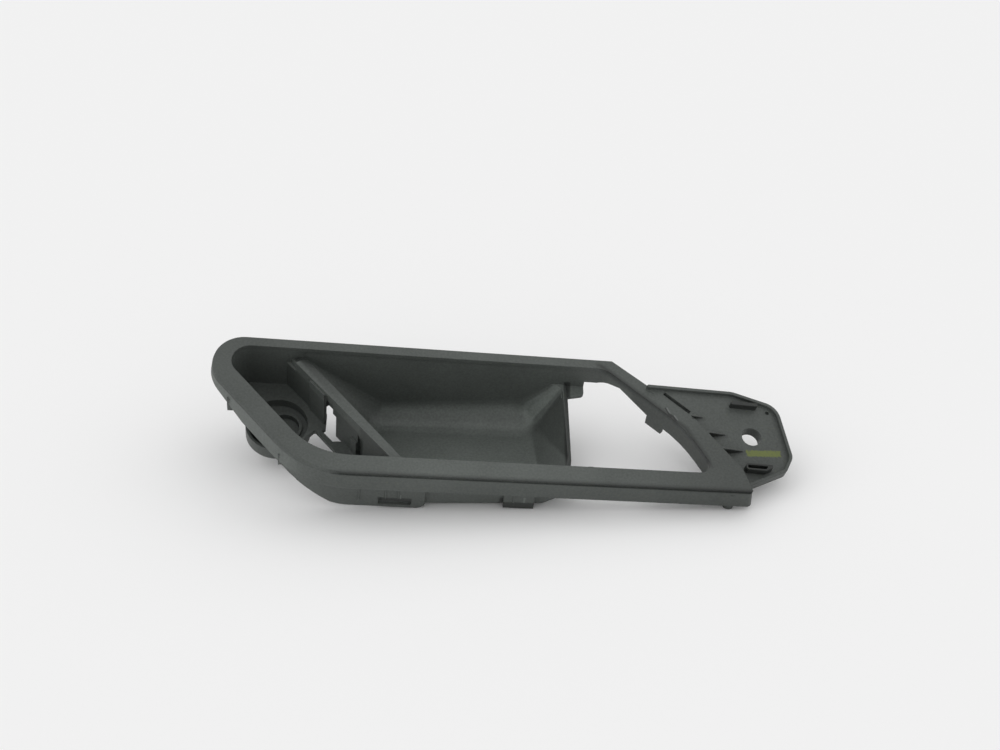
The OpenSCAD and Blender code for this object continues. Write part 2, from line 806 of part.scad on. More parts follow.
// the clip under the near bar, the foot, the two lugs under the left bar
module fittings() {
    translate([clip_at, -clip_out, -clip_drop])
        cube([clip_length, clip_thick, clip_drop - skirt_height + 3]);
    translate([clip_at, -clip_out, -skirt_height - 3.2])
        cube([clip_length, cup_near, 3.4]);
    translate([clip_at + 3.4, -clip_out - 0.35, -clip_drop + 2])
        cube([0.7, 1, clip_drop - skirt_height - 2.2]);
    intersection() {
        translate([foot_at, foot_size / 2 - 0.5, -deep])
            cylinder(d = foot_size, h = deep - 3, $fn = bore_fn);
        over_table();
    }
    translate([left_run.x * 45.7 - 1.7, left_run.y * 45.7, -far_lug_drop])
        cube([2.8, 1.5, far_lug_drop - 4]);
    translate([left_run.x * 13.5 - 1.3, left_run.y * 13.5, -near_lug_drop])
        cube([2.6, 1.4, near_lug_drop - 5]);
}

// turns a piece drawn flat into the flange's sloped plane
module on_flange() {
    translate([hole_at.x, hole_at.y, -flange_drop])
        rotate([flange_cross, 0, 0])
            rotate([0, flange_slope, 0])
                translate([-hole_at.x, -hole_at.y, 0])
                    children();
}

// everything outside the slanted bar's outer edge, less the bar's own wall
module beyond_bar() {
    slab([
        [near_edge - 60, -20],
        window_near + [5.5, -6],
        window_near + [5.5, 0],
        window_knee + [3.4, 1.6],
        window_far + [3.4, 3.2],
        [window_far.x, 90],
        [near_edge + 60, 90],
        [near_edge + 60, -20]
    ], -deep, 20);
}

module flange_piece() {
    outline = rounded(flange, flange_radii);
    inside = rounded(moved_in(flange, same(lip_wall, 8)), less(flange_radii, lip_wall));
    near_rib = [
        [hole_at.x - 4, near_rib_up],
        [hole_at.x + 4.2, near_rib_up],
        [hole_at.x - 4 + rib_length, near_rib_up + near_rib_thick * 0.6],
        [hole_at.x - 4 + rib_length, near_rib_up + near_rib_thick],
        [hole_at.x - 4, near_rib_up + near_rib_thick]
    ];
    near_rib_radii = [1.1, 0.6, 0.3, 0.3, 1.1];
    near_rib_hollow = [
        [hole_at.x - 4 + near_rib_wall, near_rib_up + near_rib_wall],
        [hole_at.x + 4, near_rib_up + near_rib_wall],
        [hole_at.x + 5, near_rib_up + near_rib_thick - near_rib_wall],
        [hole_at.x - 4 + near_rib_wall, near_rib_up + near_rib_thick - near_rib_wall]
    ];
    difference() {
        union() {
            intersection() {
                on_flange()
                    difference() {
                        union() {
                            slab(outline, -flange_thick, 0);
                            difference() {
                                slab(outline, -eps, lip_height);
                                slab(inside, -1, lip_height + 1);
                            }
                        }
                        // slit beside the slanted bar
                        slab([
                            far_corner + slant_run * 24.6 + slant_out * 0.8,
                            far_corner + slant_run * 37.4 + slant_out * 1.3,
                            far_corner + slant_run * 37.4 + slant_out * (1.3 + slit_width),
                            far_corner + slant_run * 24.6 + slant_out * (0.8 + slit_width)
                        ], -deep, eps);
                    }
                beyond_bar();
            }
            on_flange() {
                translate([hole_at.x, hole_at.y, -collar_depth])
                    cylinder(d = collar, h = collar_depth - 0.5, $fn = bore_fn);
                // far locating rib
                slab(rounded([
                    [hole_at.x - 8.4, far_rib_up],
                    [hole_at.x - 8.4 + rib_length, far_rib_up],
                    [hole_at.x - 8.4 + rib_length, far_rib_up + far_rib_thick],
                    [hole_at.x - 8.4, far_rib_up + far_rib_thick]
                ], [0.7, 0.3, 0.3, 0.7]), -0.5, rib_height);
                // near locating rib, hollow
                difference() {
                    slab(rounded(near_rib, near_rib_radii), -0.5, rib_height);
                    slab(rounded(near_rib_hollow, [0.5, 0.3, 0.3, 0.5]), 0, rib_height + 1);
                }
            }
        }
        on_flange() {
            translate([hole_at.x, hole_at.y, -deep / 2])
                cylinder(d = screw_hole, h = deep, $fn = bore_fn);
            // dimple by the far rib
            translate([hole_at.x + 7.1, far_rib_up - 0.7, -dimple_depth])
                cylinder(d = dimple, h = dimple_depth + 2, $fn = bore_fn);
        }
    }
}

// small gusset from the slanted bar's edge down to the flange's face
module gusset(from, reach, rise) {
    tip = from + [reach, rise];
    run = unit(tip - from);
    height = -0.1;
    intersection() {
        translate([from.x, from.y, 0])
            rotate(atan2(run.y, run.x))
                rotate([90, 0, 0])
                    translate([0, 0, -gusset_thick])
                        linear_extrude(gusset_thick)
                            polygon([
                                [-1.5, -7],
                                [-1.5, height],
                                [0, height],
                                [norm(tip - from), -flange_depth(tip)],
                                [norm(tip - from), -flange_depth(tip) - 1]
                            ]);
        slab(rounded(moved_in(rim, same(-12, 6)), same(14, 6)), -deep, 0);
    }
}

// depth of the flange's face under the rim, at a point
function flange_depth(p) =
    flange_drop + (p.x - hole_at.x) * tan(flange_slope) - (p.y - hole_at.y) * tan(flange_cross);

module gussets() {
    gusset([near_edge - 22.0, 34.6], far_gusset_run, 0.9);
    gusset([near_edge - 15.1, 26.9], middle_gusset_run, 1.7);
    gusset([near_edge - 10.2, 19.7], near_gusset_run, 2.3);
}

module trim_cover() {
    color("dimgray")
        resting() {
            rim_body();
            window_wall_ring();
            window_fittings();
            cup_shell();
            intersection() {
                partition();
                over_table();
            }
            well_near_wall();
            well_walls();
            well_bottom();
            fittings();
            flange_piece();
            gussets();
        }
}

trim_cover();
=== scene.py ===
# %% [markdown]
# # A door handle trim cover
# The object is one moulded piece of charcoal plastic: a frame of flat bars round a finger cup,
# a well and a window, with a thin flange for the screw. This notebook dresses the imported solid
# in its finish. The solid comes in as a fixed frame, in metres, with the part resting on z = 0.

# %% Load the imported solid
import math

import bmesh
import bpy
from mathutils import Matrix, Vector


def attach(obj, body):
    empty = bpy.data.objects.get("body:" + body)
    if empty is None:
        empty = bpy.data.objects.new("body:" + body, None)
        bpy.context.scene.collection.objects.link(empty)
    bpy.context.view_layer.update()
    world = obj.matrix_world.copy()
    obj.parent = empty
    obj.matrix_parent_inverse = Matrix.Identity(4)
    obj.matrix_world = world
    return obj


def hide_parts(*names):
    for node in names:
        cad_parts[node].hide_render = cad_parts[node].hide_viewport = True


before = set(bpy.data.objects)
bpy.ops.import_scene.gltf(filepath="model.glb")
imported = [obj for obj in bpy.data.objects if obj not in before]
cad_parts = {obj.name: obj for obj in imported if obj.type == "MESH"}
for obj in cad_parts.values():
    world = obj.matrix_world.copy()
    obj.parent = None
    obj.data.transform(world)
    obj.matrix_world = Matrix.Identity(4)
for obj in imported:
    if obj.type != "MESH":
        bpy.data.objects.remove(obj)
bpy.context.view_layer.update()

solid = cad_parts["trim_cover"]
print("solid:", len(solid.data.polygons), "triangles")

# %% [markdown]
# ## The camera
# The part lies on a table and is seen from about 0.7 metres, looking down at about 32 degrees. A
# camera could be aimed with a constraint, but two plain values, its place and its pitch, say the
# same and stay put. The lens comes from the angle of view: 1800 pixels of focal length on a
# picture 1000 wide is 64.8 mm on a 36 mm sensor.

# %% Camera
MM = 0.001
picture_width = 1000
focal_pixels = 1800
sensor_width = 36
camera_place = (-0.576, -584.01, 417.15)
camera_pitch = math.radians(32.5)
camera_data = bpy.data.cameras.new("camera")
camera_data.sensor_width = sensor_width
camera_data.lens = focal_pixels * sensor_width / picture_width
camera = bpy.data.objects.new("camera", camera_data)
camera.location = [v * MM for v in camera_place]
camera.rotation_euler = (math.pi / 2 - camera_pitch, 0, 0)
bpy.context.scene.collection.objects.link(camera)
bpy.context.scene.camera = camera
print("lens", round(camera_data.lens, 1), "mm, from", round(Vector(camera_place).length), "mm away")

# %% [markdown]
# ## The table
# The part lies on a plain white sheet. Its edge should never show, so one large square does
# better than a small one with a curved backdrop. It only spreads light, without a shine, which
# is what a Diffuse shader does.

# %% White table
def new_material(name):
    """An empty material, with its node tree."""
    material = bpy.data.materials.new(name)
    material.use_nodes = True
    material.node_tree.nodes.clear()
    return material, material.node_tree


floor_colour = (0.91, 0.91, 0.91, 1)
floor_half = 6.0
floor_corners = [(x * floor_half, y * floor_half, 0) for x, y in [(-1, -1), (1, -1), (1, 1), (-1, 1)]]
floor_mesh = bpy.data.meshes.new("floor")
floor_mesh.from_pydata(floor_corners, [], [(0, 1, 2, 3)])
floor = bpy.data.objects.new("floor", floor_mesh)
bpy.context.scene.collection.objects.link(floor)
floor_paint, floor_tree = new_material("white_table")
sheet = floor_tree.nodes.new("ShaderNodeBsdfDiffuse")
sheet.inputs["Color"].default_value = floor_colour
floor_output = floor_tree.nodes.new("ShaderNodeOutputMaterial")
floor_tree.links.new(sheet.outputs["BSDF"], floor_output.inputs["Surface"])
floor_mesh.materials.append(floor_paint)
print("table:", 2 * floor_half, "metres square")

# %% [markdown]
# ## Lamps
# The light is soft, as in a photo tent. Area lamps would do for the part, but they leave a bright
# spot on the sheet. Lamps of the sun kind light it evenly to the horizon, and a very wide angle
# keeps their shadows soft. A sun's place doesn't matter, only the way it points: here toward the
# middle, from a turn that starts at the back and goes clockwise seen from above.

# %% Lamps
# name, turn, height and width in degrees, strength
lamps = [
    ("back", 0, 50, 60, 0.14),
    ("left", -90, 45, 60, 0.30),
    ("right", 90, 45, 60, 0.24),
    ("front", 180, 50, 60, 0.10),
]


def sun_lamp(name, turn, height, width, strength):
    data = bpy.data.lights.new(name, "SUN")
    data.energy = strength
    data.angle = math.radians(width)
    lamp = bpy.data.objects.new(name, data)
    turn, height = math.radians(turn), math.radians(height)
    level = math.cos(height)
    from_where = Vector((math.sin(turn) * level, math.cos(turn) * level, math.sin(height)))
    lamp.location = from_where
    lamp.rotation_euler = from_where.to_track_quat("Z", "Y").to_euler()
    bpy.context.scene.collection.objects.link(lamp)


for lamp in lamps:
    sun_lamp(*lamp)
print("lamps:", [name for name, *settings in lamps])

# %% [markdown]
# ## The world
# The tent itself shines from all sides, which the world does. The Light Path node tells a ray
# that comes straight from the camera from the others, so what the camera sees past the sheet is
# white, while the light on the part is a little dimmer. Lamps and world together are set so that
# a colour on a level surface renders about as it is written.

# %% World
world_strength = 0.79
white = (1, 1, 1, 1)
world = bpy.data.worlds.new("tent")
bpy.context.scene.world = world
world.use_nodes = True
world_tree = world.node_tree
sky = world_tree.nodes["Background"]
sky.inputs["Color"].default_value = white
sky.inputs["Strength"].default_value = world_strength
seen_sky = world_tree.nodes.new("ShaderNodeBackground")
seen_sky.inputs["Color"].default_value = white
ray = world_tree.nodes.new("ShaderNodeLightPath")
choose = world_tree.nodes.new("ShaderNodeMixShader")
world_tree.links.new(ray.outputs["Is Camera Ray"], choose.inputs["Fac"])
world_tree.links.new(sky.outputs["Background"], choose.inputs[1])
world_tree.links.new(seen_sky.outputs["Background"], choose.inputs[2])
world_tree.links.new(choose.outputs["Shader"], world_tree.nodes["World Output"].inputs["Surface"])
bpy.context.scene.view_settings.view_transform = "Standard"
print("world strength:", world_strength)

# %% [markdown]
# ## A skin to smooth
# The solid's mesh is made of loose flat triangles. Its rounded parts, such as the cup's corners,
# should catch the light without facets. The solid itself has to stay as it came, so a copy
# stands for it. The copy's points are merged first, since only triangles that share their points
# can be shaded as one surface.

# %% Merged copy
merge_distance = 0.002 * MM
cover_mesh = solid.data.copy()
cover_mesh.name = "cover"
skin = bmesh.new()
skin.from_mesh(cover_mesh)
loose_points = len(skin.verts)
bmesh.ops.remove_doubles(skin, verts=skin.verts, dist=merge_distance)
bmesh.ops.dissolve_degenerate(skin, edges=skin.edges, dist=merge_distance / 10)
skin.faces.index_update()
print("points:", loose_points, "merged to", len(skin.verts))
print("open edges:", sum(1 for edge in skin.edges if len(edge.link_faces) != 2))

# %% [markdown]
# ## Facets
# Plain smoothing bends the light on the large flats too, because a point on the border of a flat
# and a rounding gets a normal between the two. So the triangles are first grouped into facets
# that share a plane. Weighting each triangle by its area would be the quick way, but a flat that
# is cut into thin triangles weighs too little there.

# %% Area of each facet
same_plane = math.cos(math.radians(0.6))


def facet_areas(faces):
    """The area of the flat that each face belongs to."""
    area = [0.0] * len(faces)
    done = [False] * len(faces)
    for seed in faces:
        if done[seed.index]:
            continue
        done[seed.index] = True
        facet, waiting = [seed], [seed]
        while waiting:
            for edge in waiting.pop().edges:
                for other in edge.link_faces:
                    if not done[other.index] and other.normal.dot(seed.normal) > same_plane:
                        done[other.index] = True
                        facet.append(other)
                        waiting.append(other)
        total = sum(face.calc_area() for face in facet)
        for face in facet:
            area[face.index] = total
    return area


area = facet_areas(skin.faces)
print("largest facet:", round(max(area) / MM / MM), "square mm")

# %% [markdown]
# ## Normals
# Each corner of a triangle gets its own normal. Its fan is the faces round the same point that
# are reached without crossing a sharp edge. Where the fan has a large flat, the flat's normal
# holds, so the flat stays flat up to its border. Elsewhere the fan's mean makes it round.

# %% Normal at each corner
smooth_limit = math.radians(24)
large_flat = 6.0 * MM * MM


def smooth_fan(corner):
    """The faces round a corner's point that are reached without crossing a sharp edge."""
    fan, waiting = {corner.face}, [corner.face]
    while waiting:
        for edge in waiting.pop().edges:
            if corner.vert not in edge.verts or len(edge.link_faces) != 2:
                continue
            if edge.calc_face_angle(0.0) < smooth_limit:
                for other in edge.link_faces:
                    if other not in fan:
                        fan.add(other)
                        waiting.append(other)
    return fan


def corner_normal(corner):
    fan = smooth_fan(corner)
    main = max(fan, key=lambda face: area[face.index])
    if area[main.index] > large_flat:
        return main.normal.copy()
    return sum((face.normal * face.calc_area() for face in fan), Vector()).normalized()


normals = [corner_normal(corner) for face in skin.faces for corner in face.loops]
print("corners:", len(normals))

# %% [markdown]
# ## The skin takes the solid's place
# The normals go onto the copy as custom normals, which come through an export, where a modifier
# that makes them might not. The attach call ties the copy to the body that carries it, and the
# solid is hidden.

# %% Smooth cover
skin.to_mesh(cover_mesh)
skin.free()
cover_mesh.polygons.foreach_set("use_smooth", [True] * len(cover_mesh.polygons))
cover_mesh.set_sharp_from_angle(angle=smooth_limit)
cover_mesh.normals_split_custom_set(normals)
cover = bpy.data.objects.new("cover", cover_mesh)
bpy.context.scene.collection.objects.link(cover)
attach(cover, "root")
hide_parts("trim_cover")
print("cover:", len(cover_mesh.polygons), "faces")

# %% [markdown]
# ## Helpers for nodes
# A material is a network of nodes, and most nodes in this one do arithmetic on masks. By hand
# each takes four lines. These helpers make a node, set its constants and link its sockets in
# one line, so that a formula reads like one.

# %% Node helpers
def wired_node(tree, kind, operation, *values, **settings):
    """One math node: each value is a socket to link or a constant to set."""
    node = tree.nodes.new(kind)
    node.operation = operation
    for name, value in settings.items():
        setattr(node, name, value)
    for socket, value in zip(node.inputs, values):
        if isinstance(value, bpy.types.NodeSocket):
            tree.links.new(value, socket)
        else:
            socket.default_value = value
    return node


def math_node(tree, operation, *values, **settings):
    return wired_node(tree, "ShaderNodeMath", operation, *values, **settings).outputs["Value"]


def vector_node(tree, operation, *values):
    node = wired_node(tree, "ShaderNodeVectorMath", operation, *values)
    return node.outputs["Value" if operation in ("DOT_PRODUCT", "LENGTH") else "Vector"]


def group_socket(tree, name, kind, in_out):
    return tree.interface.new_socket(name=name, in_out=in_out, socket_type=kind)


print("helpers:", [helper.__name__ for helper in (wired_node, math_node, vector_node, group_socket)])

# %% [markdown]
# ## Grain
# The plastic is fine-grained, as polypropylene trim mostly is. Its grain is a shallow bump a few
# tenths of a millimetre across, and its colour drifts a little from place to place. Both are noise
# of a different size, so one node group makes both. An image of grain would need the part
# unwrapped. The group reads the object's own coordinates instead, in metres.

# %% Node group for the grain
grain_size = 0.4 * MM
drift_size = 20 * MM


def make_grain():
    """Height of the grain and drift of the colour, each from noise of its own size."""
    tree = bpy.data.node_groups.new("moulded_grain", "ShaderNodeTree")
    group_socket(tree, "Grain Size", "NodeSocketFloat", "INPUT").default_value = grain_size
    group_socket(tree, "Drift Size", "NodeSocketFloat", "INPUT").default_value = drift_size
    group_socket(tree, "Height", "NodeSocketFloat", "OUTPUT")
    group_socket(tree, "Drift", "NodeSocketFloat", "OUTPUT")
    group_in = tree.nodes.new("NodeGroupInput")
    group_out = tree.nodes.new("NodeGroupOutput")
    place = tree.nodes.new("ShaderNodeTexCoord")
    for size, result, detail in (("Grain Size", "Height", 2.0), ("Drift Size", "Drift", 3.0)):
        noise = tree.nodes.new("ShaderNodeTexNoise")
        noise.inputs["Detail"].default_value = detail
        per_metre = math_node(tree, "DIVIDE", 1.0, group_in.outputs[size])
        tree.links.new(per_metre, noise.inputs["Scale"])
        tree.links.new(place.outputs["Object"], noise.inputs["Vector"])
        tree.links.new(noise.outputs["Fac"], group_out.inputs[result])
    return tree


moulded_grain = make_grain()
print("grain group:", len(moulded_grain.nodes), "nodes")

# %% [markdown]
# ## Places on the part
# Marks and shades sit at places of the moulding, which lies tilted on the table. Typing their
# places in table coordinates would be hard to read, so a Mapping node turns the object's metres
# into the millimetres of the rim's own frame, or of the flange's, where the near edge runs along x
# and the outer face is z = 0. The matrices are the ones that laid the part down, inverted.

# %% Frames of the rim and the flange
rim_corner = (-74.5264, -34.1093, 24.2)
rim_rest = (
    Matrix.Translation(rim_corner)
    @ Matrix.Rotation(math.radians(20), 4, "X")
    @ Matrix.Rotation(math.radians(4.7), 4, "Y"))
flange_pivot = Vector((173.8, 29.1, 0))
flange_drop = Vector((0, 0, 4.7))
flange_rest = (
    rim_rest
    @ Matrix.Translation(flange_pivot - flange_drop)
    @ Matrix.Rotation(math.radians(5.5), 4, "X")
    @ Matrix.Rotation(math.radians(4.9), 4, "Y")
    @ Matrix.Translation(-flange_pivot))


def local_millimetres(tree, rest):
    """Object coordinates in the millimetres of a frame that lies at rest."""
    place = tree.nodes.new("ShaderNodeTexCoord")
    mapping = tree.nodes.new("ShaderNodeMapping")
    back = rest.inverted()
    mapping.inputs["Location"].default_value = back.to_translation()
    mapping.inputs["Rotation"].default_value = back.to_euler("XYZ")
    mapping.inputs["Scale"].default_value = (1 / MM, 1 / MM, 1 / MM)
    tree.links.new(place.outputs["Object"], mapping.inputs["Vector"])
    return mapping.outputs["Vector"]


def on_table(rest, place):
    """A place of a frame in table millimetres, for the eye."""
    return tuple(round(v, 1) for v in rest @ Vector(place))


print("near left corner of the rim:", on_table(rim_rest, (0, 0, 0)), "mm on the table")
print("screw end of the flange:", on_table(flange_rest, (180, 30, 0)), "mm on the table")

# %% [markdown]
# ## A soft box
# Every mark needs a mask: 1 at its place, 0 away from it, and a soft border. A painted picture
# could hold them, but a box in millimetres is exact, has no pixels and can be moved by a number.
# The group turns the point about the box's middle, takes how far it lies outside the box, and
# lets the mask fall over the soft width.

# %% Node group for a soft box
def make_soft_box():
    """Mask that is 1 inside a box, and falls to 0 over the soft width outside it."""
    tree = bpy.data.node_groups.new("soft_box", "ShaderNodeTree")
    for name in ("Vector", "Centre", "Half"):
        group_socket(tree, name, "NodeSocketVector", "INPUT")
    for name in ("Soft", "Turn"):
        group_socket(tree, name, "NodeSocketFloat", "INPUT")
    group_socket(tree, "Mask", "NodeSocketFloat", "OUTPUT")
    given = tree.nodes.new("NodeGroupInput").outputs
    group_out = tree.nodes.new("NodeGroupOutput")
    turned = tree.nodes.new("ShaderNodeVectorRotate")
    turned.rotation_type = "Z_AXIS"
    turned.invert = True
    tree.links.new(given["Vector"], turned.inputs["Vector"])
    tree.links.new(given["Centre"], turned.inputs["Center"])
    tree.links.new(given["Turn"], turned.inputs["Angle"])
    offset = vector_node(tree, "SUBTRACT", turned.outputs["Vector"], given["Centre"])
    outside = vector_node(tree, "SUBTRACT", vector_node(tree, "ABSOLUTE", offset), given["Half"])
    distance = vector_node(tree, "LENGTH", vector_node(tree, "MAXIMUM", outside, (0, 0, 0)))
    share = math_node(tree, "DIVIDE", distance, given["Soft"])
    mask = math_node(tree, "SUBTRACT", 1.0, share, use_clamp=True)
    tree.links.new(mask, group_out.inputs["Mask"])
    return tree


soft_box = make_soft_box()
print("soft box group:", len(soft_box.nodes), "nodes")

# %% [markdown]
# ## Charcoal plastic
# The finish is built up like paint. First comes the bare plastic, whose tone lies between a darker
# and a paler charcoal. The slow drift of the grain group and a finer mottle say how far between.
# A single flat colour would look like a drawing, because real moulded plastic is never even.

# %% Bare plastic
charcoal_dark = (0.058, 0.065, 0.060, 1)
charcoal_light = (0.092, 0.102, 0.095, 1)
mottle_size = 0.9
mottle_strength = 1.6
plastic, paint = new_material("charcoal_plastic")
rim_mm = local_millimetres(paint, rim_rest)
flange_mm = local_millimetres(paint, flange_rest)


def speckle(size, detail):
    """Noise round 0, with spots of a size in millimetres."""
    node = paint.nodes.new("ShaderNodeTexNoise")
    node.inputs["Scale"].default_value = 1 / size
    node.inputs["Detail"].default_value = detail
    paint.links.new(rim_mm, node.inputs["Vector"])
    return math_node(paint, "SUBTRACT", node.outputs["Fac"], 0.5)


grain = paint.nodes.new("ShaderNodeGroup")
grain.node_tree = moulded_grain
mottle = math_node(
    paint, "MULTIPLY_ADD", speckle(mottle_size, 3.0), mottle_strength, grain.outputs["Drift"],
    use_clamp=True)
bare = paint.nodes.new("ShaderNodeMix")
bare.data_type = "RGBA"
bare.inputs["A"].default_value = charcoal_dark
bare.inputs["B"].default_value = charcoal_light
paint.links.new(mottle, bare.inputs["Factor"])
colour = bare.outputs["Result"]
print("charcoal from", charcoal_dark[:3], "to", charcoal_light[:3])

# %% [markdown]
# ## Brushes
# Each later layer is a mask and what it does: lay a colour over what is below, or make it darker
# or paler by a factor. Masks are multiplied to keep only what they share, and the strongest of
# several makes one mask of many places. A Map Range node turns a distance into a mask.

# %% Layers and masks
def box_mask(vector, centre, half, soft, turn=0.0):
    """A soft box in the frame of the vector: middle, half sizes, soft width and turn in degrees."""
    node = paint.nodes.new("ShaderNodeGroup")
    node.node_tree = soft_box
    paint.links.new(vector, node.inputs["Vector"])
    node.inputs["Centre"].default_value = centre
    node.inputs["Half"].default_value = half
    node.inputs["Soft"].default_value = soft
    node.inputs["Turn"].default_value = math.radians(turn)
    return node.outputs["Mask"]


def rise(value, zero_at, one_at):
    """0 where the value is zero_at, 1 where it is one_at, and no more or less beyond them."""
    node = paint.nodes.new("ShaderNodeMapRange")
    paint.links.new(value, node.inputs["Value"])
    node.inputs["From Min"].default_value = zero_at
    node.inputs["From Max"].default_value = one_at
    return node.outputs["Result"]


def joined(operation, masks):
    """One mask from several, two at a time: MULTIPLY for what they share, MAXIMUM for the strongest."""
    result = masks[0]
    for mask in masks[1:]:
        result = math_node(paint, operation, result, mask)
    return result


def layer(below, colour, mask, blend="MIX"):
    """Lays a colour over what is below, by a mask from 0 to 1."""
    node = paint.nodes.new("ShaderNodeMix")
    node.data_type = "RGBA"
    node.blend_type = blend
    paint.links.new(mask, node.inputs["Factor"])
    paint.links.new(below, node.inputs["A"])
    node.inputs["B"].default_value = colour
    return node.outputs["Result"]


def shade(below, factor, mask):
    """Makes what is below darker or paler by a factor, by a mask from 0 to 1."""
    return layer(below, (factor, factor, factor, 1), mask, "MULTIPLY")


print("brushes:", [brush.__name__ for brush in (box_mask, rise, joined, layer, shade)])

# %% [markdown]
# ## Painted light in the cup
# The inside of the cup is painted a little paler than the bars, as painted light, and most of all
# where it lies level and faces up. A second material for the cup would end at a hard line, so a mask
# does it: a box round the cup, cut off at the slanted partition. How level a face lies is the z of its
# normal, so the painted light ends softly in the coves.

# %% Cup
cup_painted_light = 1.15
cup_level_painted_light = 1.38
partition_near = (37.0, 12.8, 0)
partition_across = (0.7543, 0.6565, 0)
geometry = paint.nodes.new("ShaderNodeNewGeometry")
normal = paint.nodes.new("ShaderNodeSeparateXYZ")
paint.links.new(geometry.outputs["Normal"], normal.inputs["Vector"])
level = rise(normal.outputs["Z"], zero_at=0.6, one_at=0.9333)
from_partition = vector_node(paint, "SUBTRACT", rim_mm, partition_near)
distance_past = vector_node(paint, "DOT_PRODUCT", from_partition, partition_across)
past_partition = rise(distance_past, zero_at=0, one_at=1.6667)
cup_box = box_mask(rim_mm, centre=(60, 32, -22), half=(66, 30, 18), soft=2.0)
cup = joined("MULTIPLY", [cup_box, past_partition])
# painted light: paler where the cup's faces lie level and face up, and a little paler all over the cup
colour = shade(colour, cup_level_painted_light, joined("MULTIPLY", [level, cup]))
colour = shade(colour, cup_painted_light, cup)
print("the cup starts at the partition's near end:", on_table(rim_rest, partition_near), "mm")

# %% [markdown]
# ## Painted highlights and shade by facing
# A painted highlight lies on the rounding between the cup's floor and its far wall, on the rounding
# up to the end wall, and on the skirt at the left end. The end wall between them gets painted shade.
# Such a place is known by the way it faces, so its mask is the dot product of the normal with that
# way: 1 where the two agree, and less as the surface curves away.

# %% Painted highlights and shade by facing
# the way it faces in the rim's frame, how well it agrees where the tone starts and is full, factor
# and region
left_skirt = box_mask(rim_mm, centre=(-14, 30, -5), half=(34, 34, 3.4), soft=1.0)
facing_painted_light = [
    ((-0.35, -0.60, 0.72), (0.82, 0.958), 1.38, cup),
    ((-0.58, -0.68, 0.40), (0.82, 0.958), 1.5, cup),
    ((-0.88, -0.04, 0.47), (0.86, 0.968), 0.80, cup),
    ((-0.75, -0.65, 0.13), (0.90, 0.977), 1.38, left_skirt),
]
for way, (starts_at, full_at), factor, region in facing_painted_light:
    way = (rim_rest.to_3x3() @ Vector(way)).normalized()
    facing = vector_node(paint, "DOT_PRODUCT", geometry.outputs["Normal"], tuple(way))
    painted_light_mask = joined("MULTIPLY", [rise(facing, starts_at, full_at), region])
    # painted highlight where the factor is above 1, painted shade where it is below
    colour = shade(colour, factor, painted_light_mask)
    print("tone times", factor, "where it faces", tuple(round(v, 2) for v in way))

# %% [markdown]
# ## Painted light and shade along the outer face
# The outer face gets painted light along the middle of the near bar and painted shade round both
# ends. Painting by hand would make such a drift blotchy. A small box with a soft width of several
# centimetres makes it even, and a thin box round the outer face keeps it there.

# %% Painted light and shade on the outer face
outer_face = box_mask(rim_mm, centre=(70, 30, 0), half=(120, 40, 1.5), soft=1.0)
# middle, half sizes, soft width, factor
painted_light_and_shade_drifts = [
    ((80, 4, 0), (25, 6, 1.5), 60, 1.16),
    ((-28, 34, 0), (10, 30, 1.5), 32, 0.86),
    ((172, 4, 0), (4, 6, 1.5), 40, 0.86),
]
# painted light along the near bar's middle, painted shade at the left bar and the near bar's right end
for centre, half, soft, factor in painted_light_and_shade_drifts:
    colour = shade(colour, factor, joined("MULTIPLY", [box_mask(rim_mm, centre, half, soft), outer_face]))
print("drifts of", [factor for *place, factor in painted_light_and_shade_drifts])

# %% [markdown]
# ## Painted shade under rolled edges
# Along the near edge and the window's slanted side the outer face rolls over, and the shade under
# the roll is painted as a dark line. A line along an edge is a distance to that edge: how far a point
# is past it, and how far under the face, make a short vector whose length gives the mask. The
# window's side has a knee, so it takes the larger of the distances to its two stretches.

# %% Painted shade under rolled edges
roll_shade_factor = 0.38
roll_width = 1.9
roll_power = 1.2
depth_share = 0.75
window_knee = (146.8, 28.4, 0)
window_stretches = [(0.6652, 0.7466, 0), (0.8831, 0.4692, 0)]
rim_axes = paint.nodes.new("ShaderNodeSeparateXYZ")
paint.links.new(rim_mm, rim_axes.inputs["Vector"])
from_knee = vector_node(paint, "SUBTRACT", rim_mm, window_knee)
past_window = joined("MAXIMUM", [
    vector_node(paint, "DOT_PRODUCT", from_knee, across) for across in window_stretches])


def shade_line_along_edge(past, centre, half):
    """Mask of a line where the distance past an edge is 0, inside a box."""
    from_edge = paint.nodes.new("ShaderNodeCombineXYZ")
    paint.links.new(past, from_edge.inputs["X"])
    depth = math_node(paint, "MULTIPLY", rim_axes.outputs["Z"], depth_share)
    paint.links.new(depth, from_edge.inputs["Y"])
    distance = vector_node(paint, "LENGTH", from_edge.outputs["Vector"])
    line = math_node(paint, "POWER", rise(distance, zero_at=roll_width, one_at=0), roll_power)
    return joined("MULTIPLY", [line, box_mask(rim_mm, centre, half, soft=2.0)])


painted_roll_shade = joined("MAXIMUM", [
    shade_line_along_edge(past_window, centre=(134, 34, -1), half=(21, 23, 2)),
    shade_line_along_edge(rim_axes.outputs["Y"], centre=(86, 0, -1), half=(86, 3, 2)),
])
# painted shade: a dark line under the rolled edges
colour = shade(colour, roll_shade_factor, painted_roll_shade)
print("window's knee:", on_table(rim_rest, window_knee), "mm on the table")

# %% [markdown]
# ## Painted shade
# The latch pocket, the clip's foot, the cup's cut edge, and the ribs and gussets of the flange get
# painted shade, darker than the lamps alone make them. Each is one soft box over the form it belongs
# to. One more box, very soft, paints shade on the near wall, growing slowly toward its right end.

# %% Painted shade
painted_shade_factor = 0.36
right_end_shade_factor = 0.78
